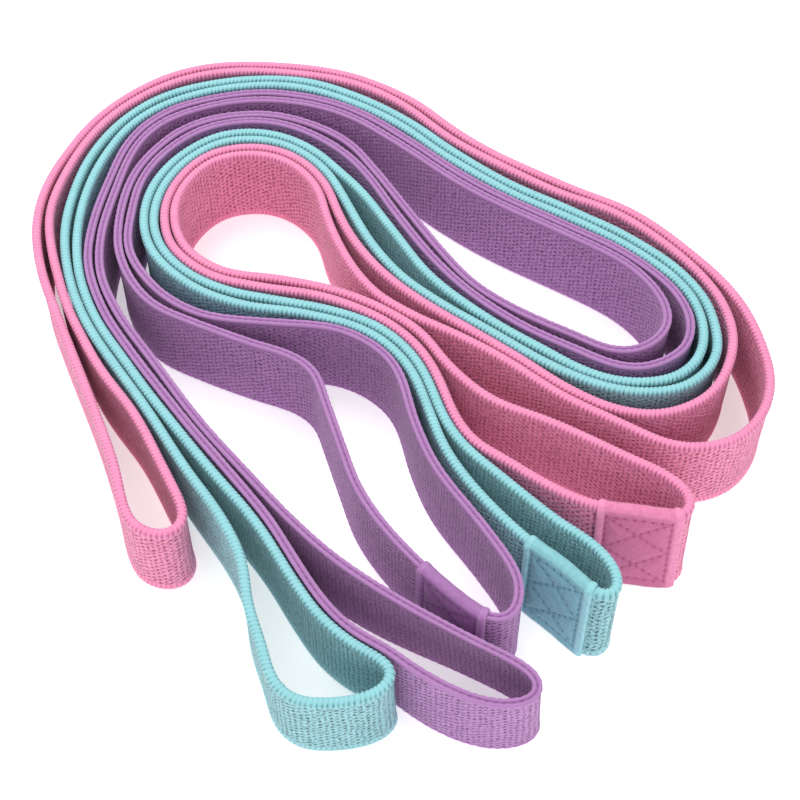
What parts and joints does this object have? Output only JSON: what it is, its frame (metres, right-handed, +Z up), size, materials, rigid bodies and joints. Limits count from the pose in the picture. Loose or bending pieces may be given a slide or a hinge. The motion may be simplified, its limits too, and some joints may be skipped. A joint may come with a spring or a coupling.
{
  "type": "stretching strap set",
  "caption": "Long woven elastic loop bands for stretching and physiotherapy, each doubled and laid on edge in one winding nest, with a sewn and wrapped joint in every loop.",
  "frame": {"origin": "centre of the box on the surface that the bands stand on", "axes": "+Z up, +Y away from the free ends towards the back of the nest, +X to the right seen from the free ends"},
  "size_m": [0.253, 0.2723, 0.0329],
  "materials": {
    "pink_fabric": "woven elastic webbing, matt faces and a ribbed rim",
    "pink_latex": "natural latex yarns, matt",
    "pink_wrap": "fine ribbed tape with a soft sheen",
    "pink_thread": "polyester sewing thread",
    "aqua_fabric": "woven elastic webbing, matt faces and a ribbed rim",
    "aqua_latex": "natural latex yarns, matt",
    "aqua_wrap": "fine ribbed tape with a soft sheen",
    "aqua_thread": "polyester sewing thread",
    "purple_fabric": "woven elastic webbing, matt faces and a ribbed rim",
    "purple_latex": "natural latex yarns, matt",
    "purple_wrap": "fine ribbed tape with a soft sheen",
    "purple_thread": "polyester sewing thread"
  },
  "bodies": {
    "pink_band": {"pink_webbing_cover": "pink_fabric", "pink_elastic_core": "pink_latex", "pink_seam_wrap": "pink_wrap", "pink_needle_thread": "pink_thread", "pink_bobbin_thread": "pink_thread"},
    "aqua_band": {"aqua_webbing_cover": "aqua_fabric", "aqua_elastic_core": "aqua_latex", "aqua_seam_wrap": "aqua_wrap", "aqua_needle_thread": "aqua_thread", "aqua_bobbin_thread": "aqua_thread"},
    "purple_band": {"purple_webbing_cover": "purple_fabric", "purple_elastic_core": "purple_latex", "purple_seam_wrap": "purple_wrap", "purple_needle_thread": "purple_thread", "purple_bobbin_thread": "purple_thread"}
  },
  "joints": [
    {"name": "aqua_lift", "type": "slide", "parent": "pink_band", "child": "aqua_band", "axis": [0, 0, 1], "range_m": [0, 0.06]},
    {"name": "purple_lift", "type": "slide", "parent": "pink_band", "child": "purple_band", "axis": [0, 0, 1], "range_m": [0, 0.12]}
  ]
}
